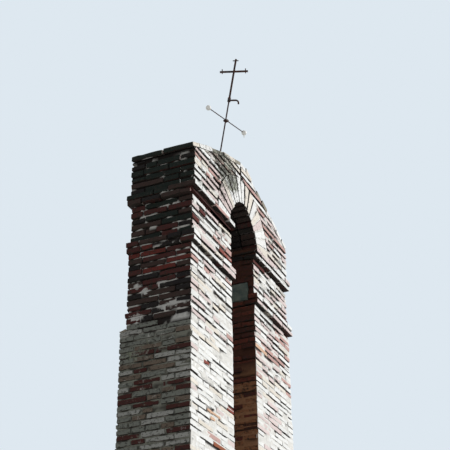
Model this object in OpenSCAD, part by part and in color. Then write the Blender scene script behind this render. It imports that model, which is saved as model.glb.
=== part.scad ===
// Brick bell gable: a tall, thin brick tower with one round-arched bell opening,
// two string bands, a gabled top and a leaning iron cross.
// X runs along the front, Y through the thickness (the front faces -Y), Z up from the ground.

/* [Brickwork] */
// Height of a course below the set-off, brick and bed joint together
low_course = 50.75; // [45:0.25:60]
// Height of a course from the set-off to the lower band
middle_course = 56.2; // [48:0.2:66]
// Height of a course in the bands
band_course = 58; // [50:0.5:68]
// Height of a course between the bands
upper_course = 63.7; // [54:0.1:72]
// Length of a brick, which is also the depth of the arch ring
brick_l = 280; // [240:5:300]

/* [Plan] */
// Width of the tower below the lower band
tower_w = 2300; // [2000:10:2800]
// Thickness of the lower stage
lower_t = 672; // [660:4:900]
// Thickness of the middle and upper stages
middle_t = 612; // [540:4:640]
// How far each end steps in above the lower band
end_step = 28; // [5:1:40]
// How far the front of the gable hangs over the stage below
gable_over = 20; // [5:1:30]
// How far the back of the gable hangs over the stage below
gable_over_back = 12; // [5:1:30]
// How far the plinth stands out from the lower stage
plinth_out = 65; // [62:1:160]
// Height of the upright edge of the sloping plinth course
plinth_nose = 21; // [10:1:45]

/* [Courses] */
// Courses in the plinth, without its sloping top course
plinth_courses = 9; // [4:1:14]
// Courses in the wall below the sill
base_courses = 67; // [20:1:90]
// Courses from the sill up to the set-off
lower_courses = 30; // [12:1:44]
// Courses from the set-off to the lower band
middle_courses = 13; // [6:1:20]
// Courses in each band
band_courses = 2; // [2:1:3]
// Courses between the two bands
upper_courses = 6; // [5:1:10]

/* [Opening] */
// Clear width of the bell opening
opening_w = 530; // [420:10:620]
// How far the opening is off the middle of the tower, to the left
opening_off = 18; // [0:1:60]
// Ledge on each impost at the foot of the arch
arch_ledge = 55; // [20:1:80]
// How far the sill stands out at the front and at the back
sill_out = 24; // [10:1:60]
// Fall of the sill from its middle to each edge
sill_fall = 14; // [4:1:30]

/* [Arch] */
// Bricks round the arch, an odd number
arch_bricks = 17; // [13:2:19]
// Mortar joint between the arch bricks where they are closest
arch_joint = 9; // [6:1:12]
// Mortar joint between them at their outer ends
arch_joint_out = 20; // [13:1:36]
// Depth of the arch joints behind the face of the bricks
joint_recess = 8; // [2:1:14]

/* [Bands] */
// How far the upper course of a band stands out at the front
band_out = 42; // [32:1:60]
// How far it stands out into the opening
band_out_opening = 12; // [11:1:60]
// How far it stands out at the right end
band_out_right = 16; // [11:1:60]
// How far the lower band stands out at the left end and the back
low_band_out = 20; // [11:1:60]
// How far the impost band stands out at the left end and the back
impost_band_out = 36; // [33:1:60]
// How far the upper course of a band stands out past the lower one
band_lip = 5; // [2:1:10]

/* [Gable] */
// Height of the eaves above the impost band
eaves_h = 419; // [350:1:500]
// Rise from the eaves to the flat ridge
gable_rise = 391; // [330:3:480]
// Width of the flat ridge
ridge_w = 138; // [120:2:200]
// Thickness of the coping
coping_t = 50; // [40:1:60]
// How far the coping stands out at the eaves
coping_out = 14; // [4:1:30]
// How far the lower part of the right coping lies above the upper part
coping_step = 14; // [4:1:24]
// Distance across the front from the ridge to that step
coping_step_run = 653; // [400:1:800]
// How far the left slope bends up above a straight line
bow = 27; // [4:1:45]
// Distance across the front from the ridge to that bend
bow_run = 440; // [300:5:600]
// Width of the crack beside the ridge, at its top
crack_w = 12; // [4:1:24]

/* [Bearing stones] */
// Courses that the height of a bearing stone takes
stone_courses = 3; // [2:1:4]
// Width of the stone along the jamb
stone_w = 260; // [150:10:340]
// Depth of the stone into the pier
stone_d = 180; // [100:10:300]
// Distance of the stone behind the front of the pier
stone_back = 70; // [40:5:120]

/* [Set-off] */
// Height of the mortar fall on the ledge behind the middle stage
setoff_h = 20; // [8:1:50]

/* [Cross] */
// Distance of the mast's foot in front of the middle of the lower stage
mast_y = 68; // [30:1:100]
// Height of the mast above the ridge
mast_h = 1415; // [1350:5:1600]
// Sideways lean of the mast for each unit of height
mast_lean = 0.152; // [0.02:0.001:0.16]
// Direction of the cross and of its lean, in degrees from +X
cross_dir = -68; // [-80:1:-40]
// Diameter of the lower mast rod
rod_d = 15; // [12:1:20]
// Width of the flat iron of the cross
iron_w = 20; // [16:1:26]
// Thickness of the flat iron of the cross
iron_t = 10; // [8:1:12]
// Height of the cross bar above the ridge
cross_z = 1250; // [1150:2:1290]
// Length of the cross bar
cross_w = 300; // [220:2:320]
// Length of the small bars near the ends of the cross
crosslet_l = 62; // [44:1:70]
// Width of those small bars
crosslet_w = 10; // [6:1:14]
// Distance of the small bars from the ends that they cross
crosslet_in = 26; // [12:1:34]

/* [Arm and lower bar] */
// Height of the bent arm above the ridge
arm_z = 890; // [840:2:1000]
// Reach of the bent arm from the mast
arm_reach = 98; // [76:1:120]
// Drop of its turned-down end
arm_drop = 48; // [34:1:60]
// Diameter of the bent arm
arm_d = 18; // [10:1:20]
// Radius of its bend, to the middle of the iron
arm_bend = 32; // [22:1:33]
// Height of the lower bar above the ridge
low_bar_z = 616; // [560:2:700]
// Distance between the middles of the two balls
low_bar_l = 590; // [400:10:640]
// Diameter of the lower bar
low_bar_d = 10; // [8:1:14]
// Direction of the lower bar, in degrees from +X
low_bar_dir = -14.6; // [-30:0.2:0]
// Diameter of the balls
ball_d = 54; // [44:1:64]
// Length of the drop below the right ball
drop_l = 34; // [16:1:50]
// Diameter of the drop where it leaves the ball
drop_top_d = 16; // [8:1:24]
// Diameter of the drop at its tip
drop_tip_d = 5; // [2:1:8]

/* [Hidden] */
$fn = 64;
arch_fn = 200;

// Levels, from the ground up
plinth_z = plinth_courses * low_course;
base_z = plinth_z + low_course;
pier_z = base_z + base_courses * low_course;
sill_z = pier_z + low_course;
setoff_z = sill_z + lower_courses * low_course;
low_band_z = setoff_z + middle_courses * middle_course;
upper_z = low_band_z + band_courses * band_course;
impost_z = upper_z + upper_courses * upper_course;
spring_z = impost_z + band_courses * band_course;
eave_z = spring_z + eaves_h;
ridge_z = eave_z + gable_rise;

// Faces in plan
front_y = -lower_t / 2;
back_y = lower_t / 2;
middle_back_y = front_y + middle_t;
gable_front_y = front_y - gable_over;
gable_back_y = middle_back_y + gable_over_back;
gable_t = gable_back_y - gable_front_y;
end_x = tower_w / 2;
upper_end_x = end_x - end_step;
opening_x = -opening_off;
left_jamb_x = opening_x - opening_w / 2;
right_jamb_x = opening_x + opening_w / 2;

// Arch
arch_r = opening_w / 2 + arch_ledge;
ring_r = arch_r + brick_l;
brick_angle = 180 / arch_bricks;
arch_brick_in = 2 * arch_r * sin(brick_angle / 2) - arch_joint;
arch_brick_w = 2 * ring_r * sin(brick_angle / 2) - arch_joint_out;
group = (arch_bricks - 1) / 4;

// Gable outline
slope_run = upper_end_x - ridge_w / 2;
slope_angle = atan(gable_rise / slope_run);
coping_drop = coping_t / cos(slope_angle);
step_drop = coping_step / cos(slope_angle);
coping_split_x = ridge_w / 2 + coping_step_run;
coping_end_x = upper_end_x + coping_out;
bow_x = ridge_w / 2 + bow_run;
crack_top_x = -ridge_w / 2 + crack_w;
crack_foot_x = crack_top_x - crack_w / 2;

// Mast and cross
lean_angle = atan(mast_lean);
foot_h = 34;
foot_r = 48;
clamp_l = 40;
clamp_r = 17;
collar_l = 44;
collar_r = 17;
collar_lap = 16;
touch = 0.2;
over_cut = 1;

brick_pale = "#d8c6b4";
brick_red = "#8a4a3a";
mortar = "#b9b0a2";
stone = "#8e9186";
iron = "#3b302b";
ball_white = "#d9d6cf";

// A slab drawn as seen from the front, between two planes across the thickness
module through(y0, y1) {
    translate([0, y1, 0]) rotate([90, 0, 0]) linear_extrude(y1 - y0) children();
}

module block(x0, x1, y0, y1, z0, z1) {
    translate([x0, y0, z0]) cube([x1 - x0, y1 - y0, z1 - z0]);
}

// Base

module plinth() {
    w = end_x + plinth_out;
    t = back_y + plinth_out;
    color(brick_pale) block(-w, w, -t, t, 0, plinth_z);
}

// One course that falls from the wall to the edge of the plinth on all four sides
module plinth_top_course() {
    edge_z = plinth_z + plinth_nose;
    w = end_x + plinth_out;
    t = back_y + plinth_out;
    color(brick_pale) intersection() {
        through(-t, t) polygon([
            [-w, plinth_z], [w, plinth_z], [w, edge_z],
            [end_x, base_z], [-end_x, base_z], [-w, edge_z]
        ]);
        rotate([0, 0, 90]) through(-w, w) polygon([
            [-t, plinth_z], [t, plinth_z], [t, edge_z],
            [back_y, base_z], [front_y, base_z], [-t, edge_z]
        ]);
    }
}

module base_wall() {
    color(brick_pale) block(-end_x, end_x, front_y, back_y, base_z, pier_z);
}

// Bricks on edge between the piers, falling from the middle to both faces
module sill() {
    y0 = front_y - sill_out;
    y1 = back_y + sill_out;
    color(brick_pale)
        translate([left_jamb_x, 0, 0]) rotate([90, 0, 90]) linear_extrude(opening_w) polygon([
            [y0, pier_z], [y1, pier_z], [y1, sill_z - sill_fall],
            [0, sill_z], [y0, sill_z - sill_fall]
        ]);
}

// Piers

module pier(side, outer_x, y1, z0, z1) {
    if (side < 0) block(-outer_x, left_jamb_x, front_y, y1, z0, z1);
    else block(right_jamb_x, outer_x, front_y, y1, z0, z1);
}

module pier_lower(side) {
    color(brick_pale) pier(side, end_x, back_y, pier_z, setoff_z);
}

module pier_middle(side) {
    color(brick_pale) pier(side, end_x, middle_back_y, setoff_z, low_band_z);
}

// Mortar fall on the ledge where the back of the tower steps in
module setoff(side) {
    x0 = side < 0 ? -end_x : right_jamb_x;
    x1 = side < 0 ? left_jamb_x : end_x;
    color(mortar)
        translate([x0, 0, setoff_z]) rotate([90, 0, 90]) linear_extrude(x1 - x0)
            polygon([[middle_back_y, 0], [back_y, 0], [middle_back_y, setoff_h]]);
}

// A band of two or three courses that goes round a pier, its top course furthest out
module band(side, outer_x, z0, left_out) {
    for (i = [0 : band_courses - 1]) {
        lip = i == band_courses - 1 ? 0 : band_lip;
        opening_out = band_out_opening - lip;
        x0 = side < 0 ? -outer_x - left_out + lip : right_jamb_x - opening_out;
        x1 = side < 0 ? left_jamb_x + opening_out : outer_x + band_out_right - lip;
        block(x0, x1, front_y - band_out + lip, middle_back_y + left_out - lip,
              z0 + i * band_course, z0 + (i + 1) * band_course);
    }
}

// The lower band, which leaves its upper course open for the bearing stone
module lower_band(side) {
    color(brick_pale) difference() {
        band(side, end_x, low_band_z, low_band_out);
        stone_block(side, band_out_opening + over_cut);
    }
}

module impost_band(side) {
    color(brick_red) band(side, upper_end_x, impost_z, impost_band_out);
}

// A bearing stone, or with a value for proud the room for it, open towards the middle
module stone_block(side, proud) {
    x0 = side < 0 ? left_jamb_x - stone_d : right_jamb_x - proud;
    x1 = side < 0 ? left_jamb_x + proud : right_jamb_x + stone_d;
    z0 = upper_z - band_course;
    y0 = front_y + stone_back;
    block(x0, x1, y0, y0 + stone_w, z0, z0 + stone_courses * upper_course);
}

// The stone that carried one end of the bell's axle, let into the jamb on the band's lower course
module bearing_stone(side) {
    color(stone) stone_block(side, 0);
}

module pier_upper(side) {
    color(brick_pale) difference() {
        pier(side, upper_end_x, middle_back_y, upper_z, impost_z);
        stone_block(side, over_cut);
    }
}

// Arch

module half_ring(inset) {
    translate([opening_x, 0, spring_z]) difference() {
        through(gable_front_y + inset, gable_back_y - inset) intersection() {
            circle(r = ring_r, $fn = arch_fn);
            translate([-ring_r, 0]) square([2 * ring_r, ring_r]);
        }
        through(gable_front_y - over_cut, gable_back_y + over_cut) circle(r = arch_r + inset, $fn = arch_fn);
    }
}

module wedge(i) {
    long = ring_r + brick_l;
    spread = (arch_brick_w - arch_brick_in) / brick_l;
    outer = arch_brick_w + spread * brick_l;
    inner = arch_brick_in - spread * (arch_r / 2);
    translate([opening_x, 0, spring_z]) rotate([0, -brick_angle * (i + 0.5), 0])
        through(gable_front_y - over_cut, gable_back_y + over_cut) polygon([
            [arch_r / 2, -inner / 2], [long, -outer / 2], [long, outer / 2], [arch_r / 2, inner / 2]
        ]);
}

// Bricks first to last of the ring, counted from the right springing
module arch_bricks_between(first, last) {
    color(brick_pale) for (i = [first : last]) intersection() {
        half_ring(0);
        wedge(i);
    }
}

module arch_joints() {
    color(mortar) difference() {
        half_ring(joint_recess);
        for (i = [0 : arch_bricks - 1]) wedge(i);
    }
}

// Gable

function slope_z(x) = ridge_z - (x - ridge_w / 2) * tan(slope_angle);

// The left slope's bend and its line below the bend, both drawn this much higher
function left_bend(rise) = [-bow_x, slope_z(bow_x) + bow + rise];
function left_foot(x, rise) =
    [-x, slope_z(x) + bow * (upper_end_x - x) / (upper_end_x - bow_x) + rise];

module shoulder(side) {
    crown_z = spring_z + ring_r;
    top_x = side < 0 ? crack_top_x - crack_w : crack_top_x;
    bed_z = ridge_z - coping_drop;
    eave = side < 0
        ? [left_bend(-coping_drop), left_foot(upper_end_x, -coping_drop)]
        : [[upper_end_x, eave_z - coping_drop]];
    color(brick_pale) difference() {
        through(gable_front_y, gable_back_y) polygon(concat(
            [[side * upper_end_x, spring_z], [crack_foot_x, spring_z], [crack_foot_x, crown_z],
             [top_x, bed_z], [side * ridge_w / 2, bed_z]],
            eave
        ));
        translate([opening_x, 0, spring_z]) through(gable_front_y - over_cut, gable_back_y + over_cut)
            circle(r = ring_r, $fn = arch_fn);
    }
}

module left_coping() {
    x0 = ridge_w / 2;
    x1 = coping_end_x;
    color(brick_pale) through(gable_front_y, gable_back_y) polygon([
        [-x0, slope_z(x0) - coping_drop], left_bend(-coping_drop), left_foot(x1, -coping_drop),
        left_foot(x1, 0), left_bend(0), [-x0, slope_z(x0)]
    ]);
}

// A strip of coping down the right slope, from one distance across the front to another
module right_coping(x0, x1, rise) {
    color(brick_pale) through(gable_front_y, gable_back_y) polygon([
        [x0, slope_z(x0) - coping_drop], [x1, slope_z(x1) - coping_drop],
        [x1, slope_z(x1) + rise], [x0, slope_z(x0) + rise]
    ]);
}

module mast_place(z) {
    translate([0, -mast_y, ridge_z])
        rotate([0, 0, cross_dir]) translate([mast_lean * z, 0, z]) children();
}

// A round bar along the lean of the mast, between two heights above the ridge
module mast_bar(d, z0, z1) {
    mast_place(z0) rotate([0, lean_angle, 0]) cylinder(d = d, h = (z1 - z0) / cos(lean_angle));
}

module ridge_cap() {
    color(brick_pale) difference() {
        through(gable_front_y, gable_back_y) polygon([
            [-ridge_w / 2, ridge_z - coping_drop], [ridge_w / 2, ridge_z - coping_drop],
            [ridge_w / 2, ridge_z], [-ridge_w / 2, ridge_z]
        ]);
        mast_bar(rod_d, -2 * coping_drop, coping_drop);
    }
}

// Iron cross

module mast_foot() {
    color(mortar) difference() {
        translate([0, -mast_y, ridge_z]) cylinder(r1 = foot_r, r2 = foot_r / 2, h = foot_h);
        mast_bar(rod_d, -2 * foot_h, 2 * foot_h);
    }
}

module rod_solid() {
    intersection() {
        mast_bar(rod_d, -2 * coping_drop, arm_z);
        block(-end_x, end_x, gable_front_y, gable_back_y, ridge_z - coping_drop, ridge_z + mast_h);
    }
}

module mast_rod() {
    color(iron) rod_solid();
}

// The flat iron of the upright, as far back as it lies and as thick as it is told to be
module upright_bar(y0, thick) {
    mast_place(arm_z) rotate([0, lean_angle, 0])
        translate([-iron_w / 2, y0, 0]) cube([iron_w, thick, (mast_h - arm_z) / cos(lean_angle)]);
}

module upright_solid() {
    upright_bar(-iron_t / 2, iron_t);
}

module cross_bar_room(y0, thick) {
    mast_place(cross_z) translate([-cross_w / 2, y0, -iron_w / 2]) cube([cross_w, thick, iron_w]);
}

// The cross bar and the upright are halved into each other
module cross_upright() {
    color(iron) difference() {
        upright_solid();
        cross_bar_room(-iron_t, iron_t);
    }
}

module cross_bar() {
    color(iron) difference() {
        cross_bar_room(-iron_t / 2, iron_t);
        upright_bar(0, iron_t);
    }
}

// A small bar riveted on the front of the cross
module crosslet(dx, z, w, h) {
    color(iron) mast_place(z) translate([dx - w / 2, -iron_t / 2 - crosslet_w / 2, -h / 2])
        cube([w, crosslet_w / 2, h]);
}

// One near an end of the cross bar
module side_crosslet(side) {
    crosslet(side * (cross_w / 2 - crosslet_in), cross_z, crosslet_w, crosslet_l);
}

// The bores for the rod and for the upright run into each other
module arm_collar() {
    color(iron) difference() {
        mast_bar(2 * collar_r, arm_z - collar_l + collar_lap, arm_z + collar_lap);
        mast_bar(rod_d, arm_z - 2 * collar_l, arm_z + touch);
        upright_solid();
    }
}

// Straight out of the collar, then turned down
module bent_arm() {
    z = arm_z - (collar_l - collar_lap) / 2;
    color(iron) mast_place(z) difference() {
        union() {
            rotate([0, 90, 0]) cylinder(d = arm_d, h = arm_reach - arm_bend);
            translate([arm_reach - arm_bend, 0, -arm_bend]) rotate([90, 0, 0])
                rotate_extrude(angle = 90) translate([arm_bend, 0]) circle(d = arm_d);
            translate([arm_reach, 0, -arm_drop]) cylinder(d = arm_d, h = arm_drop - arm_bend);
        }
        rotate([0, lean_angle, 0]) cylinder(r = collar_r, h = 4 * collar_l, center = true);
    }
}

// Lower bar, which passes in front of the mast

module low_bar_place() {
    translate([0, -mast_y, ridge_z]) rotate([0, 0, cross_dir])
        translate([mast_lean * low_bar_z, 0, low_bar_z]) rotate([0, 0, low_bar_dir - cross_dir])
            translate([0, -(rod_d + low_bar_d) / 2 - touch, 0]) children();
}

module low_bar_solid() {
    low_bar_place() translate([-low_bar_l / 2, 0, 0]) rotate([0, 90, 0])
        cylinder(d = low_bar_d, h = low_bar_l);
}

module lower_bar() {
    color(iron) low_bar_solid();
}

module lower_bar_clamp() {
    color(iron) difference() {
        low_bar_place() translate([0, (rod_d + low_bar_d) / 4, 0])
            cube([clamp_l, rod_d + low_bar_d + clamp_r, clamp_r], center = true);
        rod_solid();
        low_bar_solid();
    }
}

module ball(side) {
    color(ball_white) difference() {
        low_bar_place() translate([side * low_bar_l / 2, 0, 0]) rotate([0, 90, 0]) sphere(d = ball_d);
        low_bar_solid();
    }
}

module ball_drop() {
    color(ball_white) difference() {
        low_bar_place() translate([low_bar_l / 2, 0, -ball_d / 2 - drop_l])
            cylinder(d1 = drop_tip_d, d2 = drop_top_d, h = drop_l + over_cut);
        low_bar_place() translate([low_bar_l / 2, 0, 0]) sphere(d = ball_d);
    }
}

plinth();
plinth_top_course();
base_wall();
sill();
pier_lower(-1);  // left_pier_lower
pier_lower(1);  // right_pier_lower
setoff(-1);  // left_setoff
setoff(1);  // right_setoff
pier_middle(-1);  // left_pier_middle
pier_middle(1);  // right_pier_middle
lower_band(-1);  // left_lower_band
lower_band(1);  // right_lower_band
pier_upper(-1);  // left_pier_upper
pier_upper(1);  // right_pier_upper
bearing_stone(-1);  // left_bearing_stone
bearing_stone(1);  // right_bearing_stone
impost_band(-1);  // left_impost_band
impost_band(1);  // right_impost_band
arch_bricks_between(0, group - 1);  // arch_right_foot
arch_bricks_between(group, 2 * group - 1);  // arch_right_haunch
arch_bricks_between(2 * group, 2 * group);  // arch_crown
arch_bricks_between(2 * group + 1, 3 * group);  // arch_left_haunch
arch_bricks_between(3 * group + 1, 4 * group);  // arch_left_foot
arch_joints();
shoulder(-1);  // left_shoulder
shoulder(1);  // right_shoulder
left_coping();
right_coping(ridge_w / 2, coping_split_x, 0);  // right_coping_upper
right_coping(coping_split_x, coping_end_x, step_drop);  // right_coping_lower
ridge_cap();
mast_foot();
mast_rod();
lower_bar();
lower_bar_clamp();
ball(-1);  // left_ball
ball(1);  // right_ball
ball_drop();
arm_collar();
bent_arm();
cross_upright();
cross_bar();
crosslet(0, mast_h - crosslet_in, crosslet_l, crosslet_w);  // top_crosslet
side_crosslet(-1);  // left_crosslet
side_crosslet(1);  // right_crosslet
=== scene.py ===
"""The looks of a brick bell gable: worn bricks, mortar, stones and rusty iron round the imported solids."""
import functools
import itertools
import math
from collections import namedtuple

import bpy
import numpy as np
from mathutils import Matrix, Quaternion, Vector


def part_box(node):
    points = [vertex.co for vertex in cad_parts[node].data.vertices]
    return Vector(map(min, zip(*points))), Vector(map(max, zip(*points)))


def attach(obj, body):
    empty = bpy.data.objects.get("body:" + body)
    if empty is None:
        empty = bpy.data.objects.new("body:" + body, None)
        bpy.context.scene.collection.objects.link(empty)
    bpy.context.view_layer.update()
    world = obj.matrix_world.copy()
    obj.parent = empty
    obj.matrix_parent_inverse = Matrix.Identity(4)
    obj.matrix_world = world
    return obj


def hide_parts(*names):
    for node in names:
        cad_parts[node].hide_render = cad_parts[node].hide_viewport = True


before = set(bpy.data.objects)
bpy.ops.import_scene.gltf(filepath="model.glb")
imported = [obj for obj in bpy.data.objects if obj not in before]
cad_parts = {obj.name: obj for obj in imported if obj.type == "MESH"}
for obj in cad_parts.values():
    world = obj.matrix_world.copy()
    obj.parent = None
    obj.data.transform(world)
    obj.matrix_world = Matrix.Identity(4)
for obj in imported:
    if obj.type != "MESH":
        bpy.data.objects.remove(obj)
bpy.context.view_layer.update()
luck = np.random.default_rng(5)

# Bricks and joints, in metres
LONG = 0.280
SHORT = 0.135
JOINT = 0.011
BED_THIN = 0.0095
BED_GROWTH = 1.3
SIDE_GROWTH = 0.2
LOW_COURSE = 0.05075
MIDDLE_COURSE = 0.0562
UPPER_COURSE = 0.0637
GABLE_COURSE = 0.0650
LONG_SHARE = 0.66
LENGTH_SPREAD = 0.08
BAND_LIP = 0.005
BAND_BED = 0.012
BAND_TOP = 0.004
ARCH_BRICKS = 17
ARCH_ROWS = 4
ARCH_JOINT = 0.009
ARCH_JOINT_OUT = 0.020
COPING_ROW = 0.150
SILL_BRICKS = 8
SILL_ROWS = 3
SILL_FALL = 0.014
SETOFF_EDGE = 0.003
PLINTH_NOSE = 0.021
RIDGE_SHARE = 0.985
STONE_SURROUND = 0.016
CRACK_W = 0.014
CRACK_X = -0.063
MORTAR_STEP = 0.024
EAVES_H = 0.419
BOW = 0.027
BOW_RUN = 0.440
TINY = 1e-6
LEAST_NORM = 1e-20
NUDGE = 1e-4

# How far bricks stray from their places: standard deviations in metres, for the arch's angle in radians
OUT_SPREAD = 0.0022
BED_SPREAD = 0.0010
END_SPREAD = 0.004
SILL_SPREAD = 0.002
PLINTH_SPREAD = 0.0015
COPING_SPREAD = 0.0018
ARCH_TURN = 0.003
ARCH_FACE = 0.0025
ARCH_ENDS = (0.005, 0.004)
ARCH_HALVES = (0.0008, 0.0020)

# Wear of bricks and depth of hollows: the least, and how much more it may be
WALL_WEAR = (0.8, 0.9)
GABLE_WEAR = (0.8, 0.8)
COPING_WEAR = (1.0, 0.8)
ARCH_WEAR = (0.9, 0.6)
STONE_WEAR = 1.6
RIDGE_WEAR = 1.5
TILE_WEAR = 1.2
HOLLOW = (0.004, 0.006)
HOLLOW_SHARE = 0.08
IMPOST_LOSS = (0.030, 0.012)
IMPOST_LOSS_SHARE = 0.8
IMPOST_HOLLOW = 0.010

# Grid cells along, into and up a brick, and the length from which a brick takes the finer grid
LONG_GRID = (8, 2, 3)
SHORT_GRID = (5, 2, 3)
STONE_GRID = (12, 8, 10)
LONG_FROM = 0.2

# The number of a brick's outer side, and how bright its sides in the joints are against that one: painted
# shade between bricks
FACE = 2
JOINT_SIDE_PAINTED_SHADE = 0.75

# How much of a unit vector points a way for its surface to face or lean that way, and the left end's edge
FACING = 0.7
END_FACING = 0.6
FLAT_FACING = 0.8
LEANING = 0.25
LEFT_END_X = -0.9

CORNERS = list(itertools.product((0, 1), repeat=3))
SIDES = list(itertools.product(range(3), (0, 1)))


def corners_of(node):
    lo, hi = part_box(node)
    return np.array(lo), np.array(hi)


# Levels and faces of the tower, read from the frame
BASE_LO, BASE_HI = corners_of("base_wall")
SILL_LO, SILL_HI = corners_of("sill")
SETOFF_Z = corners_of("left_pier_lower")[1][2]
LOW_BAND_Z, LOW_BAND_TOP = (corner[2] for corner in corners_of("left_lower_band"))
IMPOST_Z, SPRING_Z = (corner[2] for corner in corners_of("left_impost_band"))
FRONT_Y = corners_of("left_shoulder")[0][1]
HALF_W, BACK_Y, _ = corners_of("right_shoulder")[1]
RIDGE_LO, RIDGE_HI = corners_of("ridge_cap")
RIDGE_X, RIDGE_Z = RIDGE_HI[0], RIDGE_LO[2]
STONE_LO, STONE_HI = corners_of("right_bearing_stone")
COPING_END = corners_of("right_coping_lower")[1][0]
COPING_SPLIT = corners_of("right_coping_upper")[1][0]
OPENING_X = (SILL_LO[0] + SILL_HI[0]) / 2
RING_R = corners_of("arch_crown")[1][2] - SPRING_Z
ARCH_R = RING_R - LONG
COPING_DROP = RIDGE_HI[2] - RIDGE_Z
BAND_COURSE = (SPRING_Z - IMPOST_Z) / 2
EAVE_Z = SPRING_Z + EAVES_H
SLOPE = math.atan2(RIDGE_HI[2] - EAVE_Z, HALF_W - RIDGE_X)
COPING_T = COPING_DROP * math.cos(SLOPE)
COPING_RISE = corners_of("right_coping_lower")[1][2] - (
    RIDGE_HI[2] - (COPING_SPLIT - RIDGE_X) * math.tan(SLOPE))


def by_height(z, *stages):
    """What belongs to the first stage that ends above a height."""
    return next(value for top, value in stages if z < top)


def random_from(least, more):
    return least + more * luck.random()


# Noise

LATTICE = np.random.default_rng(11).random((32, 32, 32))
SEED_STEP = np.array([7.3, 3.1, 5.7])


def noise(points, size, seed=0.0):
    """Smooth values from 0 to 1 with features about size metres across."""
    q = points / size + SEED_STEP * seed
    cell = np.floor(q).astype(int)
    part = q - cell
    part = part * part * (3 - 2 * part)
    total = 0.0
    for corner in CORNERS:
        near = (cell + corner) % len(LATTICE)
        weight = np.prod(np.where(corner, part, 1 - part), axis=-1)
        total = total + weight * LATTICE[near[..., 0], near[..., 1], near[..., 2]]
    return total


def fractal(points, size, seed=0.0):
    """Three layers of noise, each finer and half as strong as the one before."""
    return sum(noise(points, size / 2**n, seed + n) / 2**n for n in range(3)) / 1.75


def ramp(values, low, high):
    return np.clip((values - low) / (high - low), 0, 1)


# Nodes of materials and of the world

class Nodes:
    """A node tree, with short ways to add nodes to it."""

    def __init__(self, owner):
        owner.use_nodes = True
        self.tree = owner.node_tree

    def put(self, socket, value):
        if isinstance(value, bpy.types.NodeSocket):
            self.tree.links.new(value, socket)
        else:
            socket.default_value = value

    def add(self, kind, inputs, output=0, **settings):
        """Adds a node with its inputs and settings, and gives one of its outputs."""
        node = self.tree.nodes.new("ShaderNode" + kind)
        for key, value in settings.items():
            setattr(node, key, value)
        for key, value in inputs.items():
            self.put(node.inputs[key], value)
        return node.outputs[output]

    def math(self, operation, first, second):
        return self.add("Math", {0: first, 1: second}, operation=operation)


class Surface(Nodes):
    """A material with a Principled shader. Sizes and distances are in metres."""

    def __init__(self, name, metallic=0.0, specular=0.3):
        self.material = bpy.data.materials.new(name)
        super().__init__(self.material)
        self.shader = self.tree.nodes["Principled BSDF"]
        self.shader.inputs["Metallic"].default_value = metallic
        self.shader.inputs["Specular IOR Level"].default_value = specular
        self.place = self.add("TexCoord", {}, "Object")

    def noise(self, size, detail, rough, stretch=None):
        place = self.place
        if stretch:
            place = self.add("VectorMath", {0: place, 1: stretch}, operation="MULTIPLY")
        inputs = {"Vector": place, "Scale": 1 / size, "Detail": detail, "Roughness": rough}
        return self.add("TexNoise", inputs)

    def sum(self, *values):
        return functools.reduce(functools.partial(self.math, "ADD"), values)

    def times(self, value, factor):
        return self.math("MULTIPLY", value, factor)

    def ramp(self, value, low=0.3, high=0.7, start=0.0, end=1.0):
        return self.add("MapRange", dict(enumerate((value, low, high, start, end))))

    def mask(self, noise, amount, low, high, share):
        """Where noise and an amount together pass a level, up to a share."""
        return self.ramp(self.sum(self.noise(*noise), amount), low, high, end=share)

    def vary(self, colour, value, start, end):
        factor = self.ramp(value, start=start, end=end)
        return self.add("VectorMath", {0: colour, "Scale": factor}, operation="SCALE")

    def mix(self, share, first, second):
        first, second = (c if isinstance(c, bpy.types.NodeSocket) else (*c, 1.0) for c in (first, second))
        return self.add("Mix", {0: share, 6: first, 7: second}, 2, data_type="RGBA")

    def layer(self, name):
        return self.add("Attribute", {}, "Color", attribute_name=name)

    def channels(self, colour):
        return [self.add("SeparateColor", {0: colour}, n) for n in range(3)]

    def bump(self, height, distance, strength):
        normal = self.add("Bump", {"Height": height, "Distance": distance, "Strength": strength})
        self.put(self.shader.inputs["Normal"], normal)

    def done(self, colour, roughness):
        self.put(self.shader.inputs["Base Color"], colour)
        self.put(self.shader.inputs["Roughness"], roughness)
        return self.material


# Colours, written as they look on a screen

def srgb(*values):
    c = np.array(values) / 255
    return np.where(c <= 0.04045, c / 12.92, ((c + 0.055) / 1.055) ** 2.4)


WHITE = srgb(248, 248, 245)
CREAM = srgb(240, 232, 219)
BLUSH = srgb(230, 213, 209)
ROSE = srgb(204, 166, 158)
ORANGE = srgb(222, 184, 156)
RUST_BROWN = srgb(158, 92, 62)
RED = srgb(142, 74, 62)
DEEP_RED = srgb(90, 36, 29)
DARK_RED = srgb(64, 30, 26)
DARK_BROWN = srgb(54, 39, 34)
BLACK = srgb(22, 17, 16)
BLACK_GREEN = srgb(16, 25, 19)
LIGHT_GREY = srgb(144, 144, 139)
MID_GREY = srgb(110, 112, 105)
TAUPE = srgb(100, 88, 77)
WARM_BEIGE = srgb(170, 148, 124)
GREY_BEIGE = srgb(156, 150, 136)
GREY_GREEN = srgb(140, 144, 126)
PLASTER = srgb(178, 177, 173)
PALE_MORTAR = srgb(238, 236, 230)
GREY_MORTAR = srgb(150, 143, 131)
END_MORTAR = srgb(206, 204, 198)
END_MORTAR_LOW = srgb(120, 120, 110)
JAMB_MORTAR = srgb(140, 104, 76)
JAMB_JOINT = srgb(58, 34, 24)
# DARK_JOINT: dirt in open joints, on the sunlit front also painted shade of the recess
DARK_JOINT = srgb(30, 23, 20)
JAMB_RED = srgb(94, 46, 34)
JAMB_DARK = srgb(70, 36, 28)
JAMB_BROWN = srgb(132, 90, 62)
FLOOR = srgb(222, 224, 224)
BACKGROUND = srgb(222, 232, 240)


# Materials

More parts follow.
